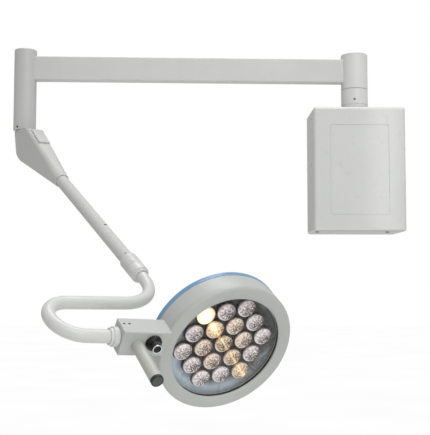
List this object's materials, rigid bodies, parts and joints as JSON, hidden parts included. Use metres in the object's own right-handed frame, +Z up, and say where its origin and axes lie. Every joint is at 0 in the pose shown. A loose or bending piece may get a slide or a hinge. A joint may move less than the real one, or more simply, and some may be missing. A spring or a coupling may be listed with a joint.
{
  "type": "surgical light",
  "caption": "Wall-mounted LED surgical light: wall box, swinging arm, balanced spring arm, bent tube and round lamp head with handle and dimmer.",
  "frame": {"origin": "centre of the four wall bolts, on the back face of the wall box", "axes": "+Z up, +Y into the wall, +X to the right seen from the room; the main arm reaches along -X at rest"},
  "size_m": [1.017, 0.906, 0.8529],
  "materials": {
    "housing_paint": "satin powder coat, warm light grey",
    "arm_paint": "satin powder coat, light grey",
    "box_paint": "gloss moulded plastic, off white",
    "tube_paint": "gloss powder coat, off white",
    "steel": "turned steel",
    "zinc_steel": "zinc-plated sheet steel",
    "spring_steel": "oiled spring steel",
    "bronze": "sintered bronze",
    "fastener": "machine screw steel",
    "blue_plastic": "blue moulded plastic",
    "cover_plastic": "moulded plastic, light grey",
    "black_plastic": "black moulded plastic",
    "trim_chrome": "polished ring",
    "handle_paint": "grip, warm grey",
    "dark_cap": "end cap, dark grey",
    "rubber_black": "moulded rubber",
    "board_green": "fibreglass board",
    "psu_case": "perforated aluminium case",
    "heat_aluminium": "die-cast aluminium",
    "led_board_white": "white solder mask on aluminium",
    "holder_grey": "dark blue-grey plate",
    "lens_acrylic": "clear moulded acrylic",
    "front_glass": "clear toughened glass",
    "cable_black": "cable jacket"
  },
  "bodies": {
    "wall_unit": {"wall_back_plate": "zinc_steel", "wall_box_cover": "box_paint", "front_service_panel": "box_paint", "underside_screws": "fastener", "post_bracket": "zinc_steel", "post_base": "arm_paint", "post_fasteners": "fastener", "post_spindle": "steel", "post_collar": "arm_paint", "post_retaining_ring": "spring_steel", "power_supply": "psu_case", "control_board": "board_green", "mains_terminal_block": "black_plastic", "cable_grommet": "rubber_black"},
    "main_arm": {"thrust_washer": "bronze", "arm_hub": "arm_paint", "arm_bushes": "bronze", "arm_end_caps": "arm_paint", "horizontal_arm": "arm_paint", "elbow_tube": "arm_paint", "elbow_stop_screw": "fastener"},
    "knuckle": {"knuckle_spindle": "steel", "knuckle_retaining_ring": "spring_steel", "knuckle_fork": "arm_paint", "fork_pins": "steel"},
    "spring_arm": {"arm_root": "steel", "spring_arm_bushes": "bronze", "spring_arm_tube": "arm_paint", "balance_spring": "spring_steel", "end_collar": "arm_paint", "knuckle_cover_right": "cover_plastic", "knuckle_cover_left": "cover_plastic", "spring_arm_screws": "fastener", "tension_access_cap": "cover_plastic"},
    "spring_rod": {"spring_rod": "steel", "spring_piston": "bronze", "tension_nut": "steel"},
    "bent_tube": {"swivel_ring": "tube_paint", "s_tube": "tube_paint", "lamp_cable": "cable_black", "lamp_spindle": "tube_paint"},
    "lamp_head": {"lamp_block": "housing_paint", "block_bush": "bronze", "friction_screws": "fastener", "handle_grip": "handle_paint", "handle_cap": "dark_cap", "dimmer_potentiometer": "steel", "lamp_housing": "housing_paint", "rear_trim_ring": "blue_plastic", "rear_cover": "housing_paint", "rear_cover_screws": "fastener", "front_bezel": "housing_paint", "front_glass": "front_glass", "glass_gasket": "rubber_black", "lens_holder": "holder_grey", "led_lenses": "lens_acrylic", "led_board": "led_board_white", "heat_sink": "heat_aluminium"},
    "dimmer": {"dimmer_knob": "black_plastic", "knob_trim_ring": "trim_chrome"}
  },
  "joints": [
    {"name": "main_arm_swing", "type": "hinge", "parent": "wall_unit", "child": "main_arm", "pos_m": [0, -0.073, 0.2682], "axis": [0, 0, 1], "range_deg": [-2, 95]},
    {"name": "knuckle_turn", "type": "hinge", "parent": "main_arm", "child": "knuckle", "pos_m": [-0.8695, -0.09167, 0.15], "axis": [0, 0, 1], "range_deg": [-110, 20]},
    {"name": "spring_arm_lift", "type": "hinge", "parent": "knuckle", "child": "spring_arm", "pos_m": [-0.8523, -0.11627, 0.07108], "axis": [-0.8197, -0.5729, 0], "range_deg": [-4, 40]},
    {"name": "spring_rod_slide", "type": "slide", "parent": "spring_arm", "child": "spring_rod", "axis": [0.4858, -0.695, -0.5301], "range_m": [-0.0025, 0.0105]},
    {"name": "bent_tube_swivel", "type": "hinge", "parent": "spring_arm", "child": "bent_tube", "pos_m": [-0.54453, -0.55664, -0.26477], "axis": [0.4858, -0.695, -0.5301], "range_deg": [-160, 160]},
    {"name": "lamp_tilt", "type": "hinge", "parent": "bent_tube", "child": "lamp_head", "pos_m": [-0.5568, -0.82189, -0.38948], "axis": [0.8725, 0.4859, -0.0509], "range_deg": [-135, 135]},
    {"name": "dimmer_turn", "type": "hinge", "parent": "lamp_head", "child": "dimmer", "pos_m": [-0.49339, -0.81075, -0.40039], "axis": [0.386, -0.7495, -0.5379], "range_deg": [-150, 150]}
  ],
  "couplings": [
    {"joint": "spring_rod_slide", "follows": "spring_arm_lift", "m_per_rad": 0.0142}
  ]
}
